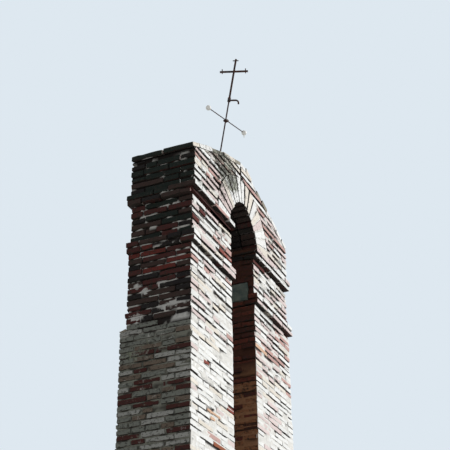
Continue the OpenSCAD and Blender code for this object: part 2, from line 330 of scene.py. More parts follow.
def brick_surface():
    s = Surface("worn_brick", specular=0.25)
    lichen, soot_and_shade, film = s.channels(s.layer("weather_and_shade"))
    grain, mottle, cloud = s.noise(0.010, 5.0, 0.7), s.noise(0.060, 5.0, 0.65), s.noise(0.45, 4.0, 0.6)
    colour = s.vary(s.layer("tint"), mottle, 0.91, 1.04)
    colour = s.vary(colour, grain, 0.94, 1.03)
    colour = s.mix(s.mask((0.075, 7.0, 0.7), film, 0.98, 1.08, 0.65), colour, srgb(180, 178, 172))
    lichen_tone = s.mix(s.ramp(cloud, 0.4, 0.6), srgb(118, 122, 112), GREY_GREEN)
    lichen_mask = s.mask((0.050, 8.0, 0.75), lichen, 0.97, 1.07, 0.9)
    colour = s.mix(lichen_mask, colour, lichen_tone)
    colour = s.mix(s.mask((0.110, 8.0, 0.7), soot_and_shade, 0.97, 1.07, 0.85), colour, srgb(34, 35, 26))
    specks = s.mask((0.028, 6.0, 0.7, (1.0, 1.0, 1.5)), soot_and_shade, 0.91, 0.99, 0.85)
    colour = s.mix(specks, colour, srgb(38, 34, 28))
    pits = s.ramp(s.noise(0.014, 3.0, 0.5), 0.66, 0.72)
    colour = s.mix(s.times(pits, 0.6), colour, srgb(48, 34, 28))
    rise = s.sum(s.times(grain, 0.5), mottle, s.times(pits, -0.5), s.times(lichen_mask, 0.25))
    s.bump(rise, 0.004, 0.9)
    return s.done(colour, s.ramp(mottle, start=0.84, end=0.97))


def mortar_surface(layered):
    """Old mortar, with the colours, the weathering and the painted shade of the mesh's own layers or plain
    ones.
    """
    s = Surface("old_mortar" if layered else "pale_mortar", specular=0.2)
    lichen, soot_and_shade = s.channels(s.layer("weather_and_shade"))[:2] if layered else (0.42, 0.40)
    tint = s.layer("tint") if layered else tuple(GREY_MORTAR)
    sand, lumps = s.noise(0.006, 4.0, 0.7), s.noise(0.035, 6.0, 0.7)
    colour = s.vary(tint, lumps, 0.78, 1.10)
    colour = s.vary(colour, sand, 0.86, 1.10)
    colour = s.mix(s.mask((0.120, 7.0, 0.7), soot_and_shade, 0.98, 1.08, 0.8), colour, srgb(38, 36, 28))
    colour = s.mix(s.mask((0.050, 7.0, 0.75), lichen, 0.97, 1.07, 0.7), colour, srgb(128, 132, 114))
    s.bump(s.sum(s.times(sand, 0.6), lumps), 0.004, 1.0)
    return s.done(colour, s.ramp(lumps, start=0.88, end=1.0))


def stone_surface():
    s = Surface("grey_stone")
    grain, cloud = s.noise(0.008, 6.0, 0.7), s.noise(0.090, 5.0, 0.6)
    colour = s.mix(s.ramp(cloud, 0.35, 0.65), srgb(70, 84, 80), srgb(112, 120, 110))
    colour = s.vary(colour, grain, 0.86, 1.10)
    spots = s.ramp(s.noise(0.030, 6.0, 0.7), 0.60, 0.66, end=0.7)
    colour = s.mix(spots, colour, srgb(72, 66, 54))
    s.bump(s.sum(grain, cloud), 0.004, 0.8)
    return s.done(colour, s.ramp(cloud, start=0.75, end=0.92))


def iron_surface():
    s = Surface("rusty_iron", metallic=0.25, specular=0.4)
    scale, rust = s.noise(0.004, 6.0, 0.7), s.noise(0.030, 5.0, 0.65)
    colour = s.mix(s.ramp(rust, 0.42, 0.62), srgb(40, 33, 32), srgb(84, 50, 36))
    colour = s.vary(colour, scale, 0.70, 1.25)
    s.bump(s.sum(scale, rust), 0.0012, 0.8)
    return s.done(colour, s.ramp(rust, 0.35, 0.65, 0.55, 0.85))


def ball_surface():
    s = Surface("weathered_white", specular=0.45)
    dirt, specks = s.noise(0.022, 6.0, 0.7), s.noise(0.004, 4.0, 0.6)
    colour = s.mix(s.ramp(dirt, 0.54, 0.70, end=0.6), srgb(240, 239, 234), srgb(168, 160, 144))
    colour = s.vary(colour, specks, 0.94, 1.02)
    s.bump(s.sum(dirt, specks), 0.0006, 0.6)
    return s.done(colour, s.ramp(dirt, 0.4, 0.7, 0.35, 0.75))


# The materials of pieces, by slot
MATERIALS = {"brick": brick_surface(), "mortar": mortar_surface(layered=True), "stone": stone_surface()}


# Palettes: colours and their shares in percent

# The front palettes are mostly near-white WHITE and CREAM: the bricks' pale pinkish beige, whitened further
# as painted sunlight
FRONT_LOW = [(74, WHITE), (18, CREAM), (5, BLUSH), (2, ROSE), (1, RED)]
FRONT_MID = [(44, WHITE), (12, CREAM), (34, BLUSH), (8, ROSE), (1, RED), (1, ORANGE)]
FRONT_UPPER = [(42, WHITE), (10, CREAM), (30, BLUSH), (12, ROSE), (3, RED), (3, DEEP_RED)]
FRONT_GABLE = [(46, WHITE), (14, CREAM), (32, BLUSH), (8, ROSE)]
# BAND_WEAR_AND_SHADOW: worn reds and browns of the impost band's lower course on the left front, darkened as
# painted shadow of the course above
BAND_WEAR_AND_SHADOW = [(10, ROSE), (30, RED), (40, DEEP_RED), (20, DARK_BROWN)]
# UNDERSIDE_PAINTED_SHADE: painted shade, dark browns, reds and black on sides that face down and on the
# opening's soffit
UNDERSIDE_PAINTED_SHADE = [(35, DARK_BROWN), (30, DARK_RED), (35, BLACK)]
END_CRUST = [(72, BLACK_GREEN), (20, BLACK), (8, DARK_BROWN)]
END_UPPER = [(36, DARK_BROWN), (26, DARK_RED), (28, BLACK), (10, BLACK_GREEN)]
END_MIDDLE = [(28, DARK_BROWN), (30, DARK_RED), (32, BLACK), (10, DEEP_RED)]
END_LOW = [(44, MID_GREY), (20, LIGHT_GREY), (23, TAUPE), (13, DARK_RED)]
# The lining is dark red-brown above JAMB_TAN_Z and tan below it: painted bounce light at its foot, over the
# bricks' own red-brown
JAMB_HIGH = [(38, JAMB_RED), (62, JAMB_DARK)]
JAMB_LOW = [(70, JAMB_BROWN), (18, JAMB_RED), (12, JAMB_DARK)]
# JAMB_BAND_PAINTED_SHADE: painted shade, near black, on the impost band's return in the opening
JAMB_BAND_PAINTED_SHADE = [(75, BLACK), (25, DARK_BROWN)]
BACK = [(22, CREAM), (34, BLUSH), (20, ROSE), (16, WARM_BEIGE), (5, ORANGE), (3, RED)]
RIGHT_END = [(20, WARM_BEIGE), (22, ROSE), (32, BLUSH), (14, GREY_BEIGE), (8, ORANGE), (4, RED)]
# COPING_FRONT: partly near white as painted sunlight on the front
COPING_FRONT = [(50, WHITE), (25, CREAM), (25, GREY_BEIGE)]
TOP = [(45, GREY_BEIGE), (25, GREY_GREEN), (30, WARM_BEIGE)]

# The share of front bricks whose colours gather in clouds, and up to where the opening's lining is tan,
# lighter there as painted bounce light
PLAIN_SHARE = 0.93
JAMB_TAN_Z = 5.42

# Single bricks of the front that differ: from x to x, from z to z, and their colour
MARKS = [
    (-1.02, -0.85, 6.60, 6.67, DEEP_RED), (-1.03, -0.89, 6.47, 6.53, DEEP_RED),
    (-0.93, -0.83, 6.39, 6.45, DARK_RED), (-0.86, -0.57, 4.745, 4.795, ORANGE),
    (-0.60, -0.40, 4.53, 4.59, RUST_BROWN),
]

# Patches of plaster and a patch of moss on the left end: y, z and half their size
PATCHES = [
    (-0.05, 5.86, 0.045, 0.034), (0.093, 5.82, 0.050, 0.042), (0.187, 5.88, 0.042, 0.026),
    (-0.16, 5.645, 0.150, 0.040), (0.18, 5.585, 0.060, 0.055), (-0.235, 5.52, 0.085, 0.028),
]
MOSS = (0.20, 5.25, 0.14, 0.06)

# The lichen patch on the left haunch and its lower part: x, z and half their size
HAUNCH = (-0.40, 7.33, 0.33, 0.20)
BELOW_HAUNCH = (-0.54, 7.08, 0.14, 0.20)


def pick(value, palette):
    for share, colour in palette:
        value -= share / 100
        if value < 0:
            return colour
    return palette[-1][1]


def in_opening(facing, x, z):
    beside = (x > SILL_LO[0] - 0.1) & (x < SILL_HI[0] + 0.1)
    return beside & (z > SILL_LO[2]) & (np.abs(facing[..., 1]) < FACING)


def masks(points, facing, end_facing=FACING):
    """Whether points are on the front, on the left end or round the opening."""
    x, _, z = points.T
    left = (facing[:, 0] < -end_facing) & (x < LEFT_END_X)
    return facing[:, 1] < -FACING, left, in_opening(facing, x, z)


def front_tint(centre, chance):
    x, _, z = centre
    for x0, x1, z0, z1, colour in MARKS:
        if x0 < x < x1 and z0 < z < z1:
            return colour
    # The impost band's lower course on the left front: worn bricks with painted shadow of the course above
    if IMPOST_Z < z < IMPOST_Z + BAND_COURSE and x < OPENING_X:
        return pick(chance, BAND_WEAR_AND_SHADOW)
    if z > RIDGE_Z - (abs(x) - RIDGE_X) * math.tan(SLOPE):
        return pick(chance, COPING_FRONT)
    if chance < PLAIN_SHARE:
        chance = min(max(chance + 1.1 * (fractal(centre, 0.45, 6.0) - 0.5), 0.0), PLAIN_SHARE)
    return pick(chance, by_height(z, (SETOFF_Z, FRONT_LOW), (LOW_BAND_TOP, FRONT_MID),
                                  (IMPOST_Z, FRONT_UPPER), (math.inf, FRONT_GABLE)))


def brick_tint(facing, centre, chance):
    """The colour of one side of a brick, by the way it faces and where it is."""
    z = centre[2]
    lining = in_opening(facing, centre[0], z)
    if facing[2] > FLAT_FACING:
        return pick(chance, TOP)
    # Sides that face down, and sides in the opening that lean down, take painted shade
    if facing[2] < (-LEANING if lining else -FLAT_FACING):
        return pick(chance, UNDERSIDE_PAINTED_SHADE)
    if facing[1] < -FACING:
        return front_tint(centre, chance)
    if lining:
        # The opening's lining: painted bounce light at its foot, painted shade on the impost band's return
        # and on the soffit
        return pick(chance, by_height(z, (JAMB_TAN_Z, JAMB_LOW), (IMPOST_Z, JAMB_HIGH),
                                      (SPRING_Z, JAMB_BAND_PAINTED_SHADE), (math.inf, UNDERSIDE_PAINTED_SHADE)))
    if facing[0] < -END_FACING:
        edge = z + 0.12 * (chance - 0.5)
        return pick(chance, by_height(edge, (SETOFF_Z, END_LOW), (LOW_BAND_TOP, END_MIDDLE),
                                      (SPRING_Z - BAND_COURSE, END_UPPER), (math.inf, END_CRUST)))
    return pick(chance, BACK if facing[1] > FACING else RIGHT_END)


def blot(u, v, oval, ragged, low, high):
    """How far points lie in an oval with a ragged edge, 0 to 1."""
    middle_u, middle_v, half_u, half_v = oval
    return 1 - ramp(np.hypot((u - middle_u) / half_u, (v - middle_v) / half_v) + ragged, low, high)


def patches(points):
    _, y, z = points.T
    ragged = 0.5 * (fractal(points, 0.05, 1.0) - 0.5)
    return np.max([blot(y, z, patch, ragged, 0.85, 1.15) for patch in PATCHES], axis=0)


def low_end(z):
    """1 below the set-off, where the left end is paler, and 0 above it."""
    return ramp(SETOFF_Z - z, -0.05, 0.1)


def eroded_front(points):
    """Whether points lie where the lower course of the impost band is worn away, on the left front."""
    x, y, z = points.T
    near = (y < BASE_LO[1] + 0.08) & (x < SILL_LO[0])
    return near & (z > IMPOST_Z - 0.004) & (z < IMPOST_Z + BAND_COURSE + 0.008)


def weather_and_shade_amounts(points, facing):
    """Lichen, sooty grime that also paints shade on down-facing sides, and mortar film, 0 to 1, at points
    that face a way.
    """
    x, y, z = points.T
    front, left, inside = masks(points, facing, END_FACING)
    ragged = 0.9 * (fractal(points, 0.20, 8.0) - 0.5)
    haunch = np.maximum(blot(x, z, HAUNCH, ragged, 0.75, 1.30),
                        0.7 * blot(x, z, BELOW_HAUNCH, ragged, 0.60, 1.30))
    right_gable = ramp(x, 0.0, 0.3) * ramp(z, SPRING_Z, SPRING_Z + 0.2)
    moss = np.exp(-(((y - MOSS[0]) / MOSS[2]) ** 2 + ((z - MOSS[1]) / MOSS[3]) ** 2))
    eroded = eroded_front(points)
    lichen = np.where(front, 0.24 + 0.34 * haunch + 0.16 * right_gable, 0.30)
    lichen = np.where(left, 0.26 + 0.12 * low_end(z) + 0.18 * moss, lichen) - 0.2 * eroded
    levels = (SETOFF_Z - 0.3, SETOFF_Z + 0.3, LOW_BAND_TOP, SPRING_Z)
    height = np.interp(z, levels, (0.22, 0.27, 0.33, 0.35))
    soot_and_shade = np.where(front, height + 0.10 * haunch - 0.04 * right_gable, 0.30)
    # Down-facing sides get the most grime: painted shade under things. The opening's lining and the left end
    # get more grime as well
    soot_and_shade = np.select([facing[:, 2] < -END_FACING, inside, left], [0.46, 0.40, 0.38], soot_and_shade) - 0.1 * eroded
    film = np.where(left, 0.30 + 0.08 * low_end(z) + 0.26 * patches(points), 0.22)
    return np.stack([lichen, soot_and_shade, film], 1)


# Grids on the faces of a box, and meshes

def shell(nu, nv, nw):
    """Grid points on the six faces, the quads between them seen from outside, and each quad's side."""
    grid = np.indices((nu + 1, nv + 1, nw + 1))
    on = (grid.T % (nu, nv, nw) == 0).any(-1).T
    index = np.full(on.shape, -1)
    index[on] = np.arange(on.sum())
    quads, sides = [], []
    for axis, end in SIDES:
        plane = index.take(-end, axis=axis)
        ring = [plane[:-1, :-1], plane[1:, :-1], plane[1:, 1:], plane[:-1, 1:]]
        quad = np.stack(ring, -1).reshape(-1, 4)
        if (end == 0) != (axis == 1):
            quad = quad[:, ::-1]
        quads.append(quad)
        sides.append(np.full(len(quad), 2 * axis + end))
    return grid[:, on].T, np.concatenate(quads), np.concatenate(sides)


def quad_crosses(points, quads):
    """Vectors square to the quads, as long as twice their areas."""
    a, b, c, d = (points[quads[:, n]] for n in range(4))
    return np.cross(c - a, d - b)


def unit(vectors):
    return vectors / np.maximum(np.linalg.norm(vectors, axis=-1, keepdims=True), LEAST_NORM)


def vertex_normals(points, quads):
    """Normals at the points that lean on the larger faces, so that flat sides look flat."""
    weighted = quad_crosses(points, quads)
    weighted *= np.linalg.norm(weighted, axis=1, keepdims=True)
    total = np.zeros_like(points)
    for n in range(4):
        np.add.at(total, quads[:, n], weighted)
    return unit(total)


def corner_normals(points, quads):
    return np.repeat(unit(quad_crosses(points, quads)), 4, axis=0)


def make_mesh(name, points, quads, tints, slot, nodes):
    """A piece from grid points and quads, with a colour and three weathering amounts at every corner; the
    grime amount also paints shade on down-facing sides.
    """
    mesh = bpy.data.meshes.new(name)
    mesh.vertices.add(len(points))
    mesh.vertices.foreach_set("co", points.astype(np.float32).ravel())
    mesh.loops.add(quads.size)
    mesh.loops.foreach_set("vertex_index", quads.astype(np.int32).ravel())
    mesh.polygons.add(len(quads))
    mesh.polygons.foreach_set("loop_start", np.arange(0, quads.size, 4, dtype=np.int32))
    mesh.update(calc_edges=True)
    mesh.polygons.foreach_set("use_smooth", np.ones(len(quads), bool))
    weather_and_shade = weather_and_shade_amounts(points[quads.ravel()], corner_normals(points, quads))
    for layer, values in (("tint", tints), ("weather_and_shade", weather_and_shade)):
        colours = mesh.color_attributes.new(layer, "FLOAT_COLOR", "CORNER")
        colours.data.foreach_set("color", np.c_[values, np.ones(quads.size)].astype(np.float32).ravel())
    mesh.normals_split_custom_set_from_vertices(vertex_normals(points, quads))
    mesh.materials.append(MATERIALS[slot])
    piece = bpy.data.objects.new(name, mesh)
    bpy.context.scene.collection.objects.link(piece)
    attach(piece, "root")
    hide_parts(*nodes)


# Bricks

Brick = namedtuple("Brick", "corners wear hollow chance grid inner")

# How far edges and corners are rounded in, how rough faces are, and how deep chips are
EDGE = (0.003, 0.004)
ROUNDING = np.array([0.0, 0.0, 0.35, 0.55])
ROUGHNESS = 0.004
EDGE_CHIP = 0.014
FACE_CHIP = 0.007
DECORRELATE = 13.7


def between_joints(edges, n):
    """The stretch of a numbered brick of a row, with half a joint off at each end that has a neighbour."""
    return edges[n] + JOINT / 2 * (n > 0), edges[n + 1] - JOINT / 2 * (n < len(edges) - 2)


def add_brick(bricks, place, wear=1.0, hollow=0.0, grid=None, inner=None):
    """Adds one brick. place gives its corners from three numbers that are 0 or 1: along, into and up.

    inner holds its sides that look into a joint, each with the side whose colour it takes, darkened as
    painted shade.
    """
    corners = np.array([place(*corner) for corner in CORNERS], float).reshape(2, 2, 2, 3)
    length = np.linalg.norm(corners[1] - corners[0], axis=-1).mean()
    grid = grid or (LONG_GRID if length > LONG_FROM else SHORT_GRID)
    bricks.append(Brick(corners, wear, hollow, luck.random(), grid, inner or {}))


def side_tints(brick, shade):
    tints = np.empty((6, 3))
    middle = brick.corners.mean((0, 1, 2))
    for axis, end in SIDES:
        centre = brick.corners.take(end, axis=axis).mean((0, 1))
        facing = centre - middle
        tints[2 * axis + end] = brick_tint(unit(facing), centre, brick.chance) * shade
    for side, source in brick.inner.items():
        # Sides in joints take the outer colour, darker as painted shade between bricks
        tints[side] = JOINT_SIDE_PAINTED_SHADE * tints[source]
    return tints


def grid_share(steps, cells, edge):
    """Where grid lines lie between two ends: one close to each, or to the first where cells are two."""
    edge = edge[:, None]
    inner = edge + (1 - 2 * edge) * (steps - 1) / max(cells - 2, 1)
    return np.where(steps == 0, 0.0, np.where(steps == cells, 1.0, inner))


def brick_points(bricks, grid):
    """The points of bricks that share a grid: rounded edges, chips, worn faces and small bumps."""
    steps, quads, sides = shell(*grid)
    corners, wear, hollow = map(np.array, list(zip(*bricks))[:3])
    count = len(bricks)
    ways = [np.diff(corners, axis=axis) for axis in (1, 2, 3)]
    size = np.stack([np.linalg.norm(way, axis=-1).mean((1, 2, 3)) for way in ways], 1)
    edge = wear * (EDGE[0] + EDGE[1] * luck.random(count))
    share = np.stack([grid_share(steps[:, n], grid[n], edge / size[:, n]) for n in range(3)], -1)
    low = steps == 0
    high = (steps == grid) & np.array([True, grid[1] > 2, True])
    outermost = low | high
    extremes = outermost.sum(1)
    share += (low * 1.0 - high) * ROUNDING[extremes][:, None] * (edge[:, None] / size)[:, None, :]
    points = np.zeros((count, len(steps), 3))
    for corner in CORNERS:
        weight = np.prod(np.where(corner, share, 1 - share), axis=-1)
        points += weight[..., None] * corners[:, None, *corner]
    inward = unit((corners[:, :, 1] - corners[:, :, 0]).mean((1, 2)))
    shifted = points + DECORRELATE * luck.random((count, 1, 3))
    bumps = np.stack([noise(shifted, 0.030, n) - 0.5 for n in range(3)], -1)
    points += bumps * ROUGHNESS * wear[:, None, None]
    chip = ramp(noise(shifted, 0.055, 4), 0.60, 0.85) * wear[:, None]
    front = steps[:, 1] <= 1
    at_edge = (extremes >= 2) & low[:, 1]
    near_edge = front & ~at_edge & (outermost[:, 0] | outermost[:, 2])
    toward = unit(corners.mean((1, 2, 3))[:, None] - points)
    points += toward * (chip * (EDGE_CHIP * at_edge + FACE_CHIP * near_edge))[..., None]
    pit = 0.45 + 1.1 * noise(shifted, 0.045, 6)
    points += inward[:, None] * (front * pit * hollow[:, None])[..., None]
    return points, quads, sides


def brick_piece(node, bricks, name=None, ending="_bricks", slot="brick"):
    """One joined mesh from a list of bricks, in the place of a node."""
    parts, start = [], 0
    for grid in sorted({brick.grid for brick in bricks}):
        alike = [brick for brick in bricks if brick.grid == grid]
        shade = 0.93 + 0.10 * luck.random(len(alike))
        tints = np.array([side_tints(brick, s) for brick, s in zip(alike, shade)])
        points, quads, sides = brick_points(alike, grid)
        offsets = start + np.arange(len(alike))[:, None, None] * points.shape[1]
        corner_tints = np.repeat(tints[:, sides].reshape(-1, 3), 4, axis=0)
        parts.append((points.reshape(-1, 3), (quads + offsets).reshape(-1, 4), corner_tints))
        start += len(alike) * points.shape[1]
    make_mesh((name or node) + ending, *map(np.concatenate, zip(*parts)), slot, [node])


# Laying

def jamb_gap(which, z):
    """The face of a pier and the stretch of y that a bearing stone takes in a course at height z, or None."""
    if which is None:
        return None
    lo, hi = corners_of(f"{which}_bearing_stone")
    if not lo[2] - JOINT < z < hi[2] - JOINT:
        return None
    return 1 if which == "left" else 3, lo[1] - STONE_SURROUND, hi[1] + STONE_SURROUND


def split(length):
    """Long and short bricks in a random order that fill a length: each one's start and end."""
    sizes = []
    while sum(sizes) + JOINT * len(sizes) < length - SHORT * 0.55:
        sizes.append(LONG if luck.random() < LONG_SHARE else SHORT)
    sizes = np.array(sizes or [length]) * (1 + LENGTH_SPREAD * (luck.random(max(len(sizes), 1)) - 0.5))
    sizes *= (length - JOINT * (len(sizes) - 1)) / sizes.sum()
    starts = np.concatenate([[0], np.cumsum(sizes + JOINT)[:-1]])
    return list(zip(starts, starts + sizes))


def block_sides(x0, x1, y0, y1):
    """The upright faces of a block, from the front anticlockwise: start, way along, way in, length."""
    starts = [(x0, y0), (x1, y0), (x1, y1), (x0, y1)]
    ways = [np.array([x, y, 0.0]) for x, y in ((1, 0), (0, 1), (-1, 0), (0, -1))]
    lengths = (x1 - x0, y1 - y0)
    return [(np.array([*starts[n], 0.0]), ways[n], ways[(n + 1) % 4], lengths[n % 2]) for n in range(4)]


def upright_brick(bricks, side, s, z, depth=SHORT, out=None, wear=1.0, hollow=0.0, ends=(True, True)):
    """A brick against one upright face.

    s holds its start and end, each as one distance or as [bottom, top]. ends tells which of them show.
    """
    start, along, into, _ = side
    out = luck.normal(0, OUT_SPREAD, 2) if out is None else out

    def place(a, b, c):
        distance = s[a][c] if np.ndim(s[a]) else s[a]
        return start + along * distance + into * (depth * b - out[a]) + (0, 0, z[c])

    inner = {end: FACE for end in (0, 1) if not ends[end]}
    inner[FACE + 1] = FACE if len(inner) == 2 else ends.index(True)
    add_brick(bricks, place, wear, hollow, inner=inner)


def bed(z, course, growth=BED_GROWTH):
    """Bottom and top of the bricks of a course. Higher courses have wider joints."""
    half = (BED_THIN + growth * (course - LOW_COURSE)) / 2
    return z + half + luck.normal(0, BED_SPREAD), z + course - half + luck.normal(0, BED_SPREAD)


def damage(number, middle, z, course):
    """How far a brick of a numbered face stands out, and how hollow it is worn."""
    at_impost = number == 0 and middle[0] < OPENING_X and abs(z - IMPOST_Z) < course / 2
    if at_impost and luck.random() < IMPOST_LOSS_SHARE:
        return -random_from(*IMPOST_LOSS), IMPOST_HOLLOW
    share = (0.10 if LOW_BAND_TOP - JOINT < z < IMPOST_Z else 0.04) if number == 0 else HOLLOW_SHARE
    if luck.random() < share:
        return -0.002, random_from(*HOLLOW)
    return 0.0, 0.0


def runs(number, side, parity, gap):
    """The stretches of one face that a course fills. gap is what jamb_gap says."""
    inset = 0 if number % 2 == parity % 2 else SHORT + JOINT
    if gap is None or number != gap[0]:
        return [(inset, side[3] - inset)]
    near, far = sorted(abs(y - side[0][1]) for y in gap[1:])
    return [run for run in ((inset, near), (far, side[3] - inset)) if run[1] - run[0] > SHORT / 4]


def ring_course(bricks, block, z, parity, course, gap=None):
    """One course round a block. The corner bricks go to the long and the short faces in turn."""
    for number, side in enumerate(block_sides(*block)):
        growth = SIDE_GROWTH if number else BED_GROWTH
        for first, last in runs(number, side, parity, gap):
            for start, end in split(last - first):
                start, end = start + first, end + first
                back, hollow = damage(number, side[0] + side[1] * (start + end) / 2, z, course)
                ragged = luck.normal(0, END_SPREAD, 2)
                ends = bool(start < TINY), bool(end > side[3] - TINY)
                s = (start + ragged[0] * ends[0], end + ragged[1] * ends[1])
                beside = gap and number == 0 and ends[gap[0] == 1]
                depth = gap[1] - side[0][1] if beside else SHORT
                out = luck.normal(0, OUT_SPREAD, 2) + back
                wear = random_from(*WALL_WEAR)
                upright_brick(bricks, side, s, bed(z, course, growth), depth, out, wear, hollow, ends)


# Mortar

# How sharply washed-out mortar ends, and where on the front and the left end it begins, by height
WASH_EDGE = 0.035
FRONT_WASH = ((SETOFF_Z - 0.1, SETOFF_Z + 0.1, LOW_BAND_TOP, SPRING_Z), (0.56, 0.51, 0.44, 0.41))
END_WASH = ((SETOFF_Z - 0.1, SETOFF_Z, LOW_BAND_TOP, SPRING_Z), (0.52, 0.48, 0.455, 0.39))

# Depths of mortar behind the bricks' faces
FULL_DEPTH = 0.0025
FULL_DEPTH_END = 0.0085
OPEN_DEPTH = 0.008
ERODED_DEPTH = 0.026
STONE_DEPTH = 0.016


def openness(points, facing, bed_share):
    """How far the mortar is washed out, 0 to 1. bed_share is 1 on a bed joint and 0 halfway up a course."""
    z = points[:, 2]
    front, left, _ = masks(points, facing)
    flat = points * (1, 1, 8)
    value = np.where(left, fractal(flat, 0.075, 3.0), fractal(flat, 0.22, 2.0))
    level = np.where(front, np.interp(z, *FRONT_WASH), np.where(left, np.interp(z, *END_WASH), 0.50))
    head = np.where(left, np.where(z > SETOFF_Z, -0.60, 0.0), 0.20)
    level = level + head * (1 - bed_share)
    return ramp(value, level - WASH_EDGE, level + WASH_EDGE)


def recess(points, facing, bed_share):
    _, y, z = points.T
    front, left, inside = masks(points, facing)
    shallow = np.where(left, FULL_DEPTH_END, FULL_DEPTH)
    deep = OPEN_DEPTH + (0.004 + 0.014 * ramp(z, SETOFF_Z - 0.3, SPRING_Z)) * bed_share
    depth = shallow + (deep - shallow) * openness(points, facing, bed_share)
    depth += 0.003 * (noise(points, 0.03, 4.0) - 0.5)
    depth = np.where(left, depth * (1 - 0.8 * patches(points)), depth)
    depth += ERODED_DEPTH * (front & eroded_front(points))
    by_stone = (y > STONE_LO[1]) & (y < STONE_HI[1]) & (z > STONE_LO[2] - BAND_COURSE / 4) & (z < STONE_HI[2])
    depth += STONE_DEPTH * (inside & by_stone)
    return np.where(np.abs(facing[:, 2]) > FACING, 0.0, depth)


def even_recess(points, *_):
    return 0.009 + 0.006 * (noise(points, 0.05, 9.0) - 0.5)


def mortar_tint(points, facing, bed_share):
    z = points[:, 2]
    front, left, inside = (mask[:, None] for mask in masks(points, facing))
    low = low_end(z)[:, None]
    crust = ramp(z, SPRING_Z - 0.10, SPRING_Z + 0.05)[:, None]
    end = END_MORTAR * (1 - 0.20 * (1 - crust) - 0.45 * crust) * (1 - low) + END_MORTAR_LOW * low
    # The lining's mortar is tan at its foot and dark above: painted bounce light at the foot
    tan = (1 - ramp(z, JAMB_TAN_Z, JAMB_TAN_Z + 0.2))[:, None]
    lining = JAMB_MORTAR * tan + 1.4 * JAMB_JOINT * (1 - tan)
    filled = np.where(inside, lining, np.where(left, end, np.where(front, PALE_MORTAR, GREY_MORTAR)))
    washed = openness(points, facing, bed_share)[:, None]
    washed = np.where(left & (low > 0.5), 0.75 * washed, washed)
    # Open joints take DARK_JOINT: dirt, on the front also painted shade of the recess
    tint = filled * (1 - washed) + np.where(inside, JAMB_JOINT, DARK_JOINT) * washed
    # Mortar at the worn impost course on the left front is dark red: painted shade under the band
    tint = np.where(eroded_front(points)[:, None], DARK_RED, tint)
    patch = patches(points)[:, None] * left
    return tint * (1 - patch) + PLASTER * patch


def core_piece(node, mapping, counts, depth=recess, colour=mortar_tint, name=None):
    """Mortar as one closed form: a box bent by a mapping, with every face moved in by its own depth."""
    steps, quads, _ = shell(*counts)
    share = steps / np.array(counts)
    bed_share = np.where(steps[:, 2] % 2 == 0, 1.0, 0.0)
    points = mapping(share)
    ways = [mapping(share + nudge) - mapping(share - nudge) for nudge in NUDGE * np.eye(3)]
    moved = points.copy()
    for axis in range(3):
        normal = unit(np.cross(ways[(axis + 1) % 3], ways[(axis + 2) % 3]))
        for end, sign in ((0, -1), (counts[axis], 1)):
            here = steps[:, axis] == end
            outward = normal[here] * sign
            moved[here] -= outward * depth(points[here], outward, bed_share[here])[:, None]
    corners = quads.ravel()
    tints = colour(points[corners], corner_normals(moved, quads), bed_share[corners])
    make_mesh((name or node) + "_mortar", moved, quads, tints, "mortar", [node])


def box_map(lo, hi):
    lo, hi = np.array(lo), np.array(hi)
    return lambda share: lo + share * (hi - lo)


def through(share):
    """The y of points on the way through the wall."""
    return FRONT_Y + share[:, 1] * (BACK_Y - FRONT_Y)


def cells(lo, hi, rows):
    return (*(max(2, round((b - a) / MORTAR_STEP)) for a, b in zip(lo[:2], hi[:2])), rows)


# Walls, piers and bands

def wall(node, name=None, z_range=None, first=0, which=None):
    lo, hi = corners_of(node)
    z0, z1 = z_range or (lo[2], hi[2])
    heights = (SETOFF_Z, LOW_COURSE), (LOW_BAND_Z, MIDDLE_COURSE), (math.inf, UPPER_COURSE)
    courses = round((z1 - z0) / by_height(z0 + JOINT, *heights))
    height = (z1 - z0) / courses
    bricks = []
    for course in range(courses):
        z = z0 + course * height
        block = (lo[0], hi[0], lo[1], hi[1])
        ring_course(bricks, block, z, first + course, height, jamb_gap(which, z))
    brick_piece(node, bricks, name)
    low, high = (*lo[:2], z0), (*hi[:2], z1)
    core_piece(node, box_map(low, high), cells(low, high, 2 * courses), name=name)


def band(which, stage):
    node = f"{which}_{stage}_band"
    lo, hi = corners_of(node)
    bricks = []
    for course in (0, 1):
        lip = BAND_LIP * (1 - course)
        block = (lo[0] + lip, hi[0] - lip, lo[1] + lip, hi[1] - lip)
        z = lo[2] + course * BAND_COURSE
        ring_course(bricks, block, z, course, BAND_COURSE, jamb_gap(which, z))
    brick_piece(node, bricks)
    low, high = lo + (BAND_LIP, BAND_LIP, BAND_BED), hi - (BAND_LIP, BAND_LIP, BAND_TOP)
    core_piece(node, box_map(low, high), cells(lo, hi, 4))


middle_z = BASE_LO[2] + LOW_COURSE * round((BASE_HI[2] - BASE_LO[2]) / LOW_COURSE / 2)
wall("plinth")
wall("base_wall", "base_wall_low", (BASE_LO[2], middle_z))
wall("base_wall", "base_wall_high", (middle_z, BASE_HI[2]), 1)
for which in ("left", "right"):
    for stage in ("lower", "middle"):
        wall(f"{which}_pier_{stage}", first=1)
    wall(f"{which}_pier_upper", first=1, which=which)
    band(which, "lower")
    band(which, "impost")


# Bearing stones, sill, set-off and the sloping plinth course

def rough_block(node):
    lo, hi = corners_of(node)
    bricks = []
    add_brick(bricks, lambda *corner: lo + (hi - lo) * corner, STONE_WEAR, grid=STONE_GRID)
    brick_piece(node, bricks, ending="_block", slot="stone")


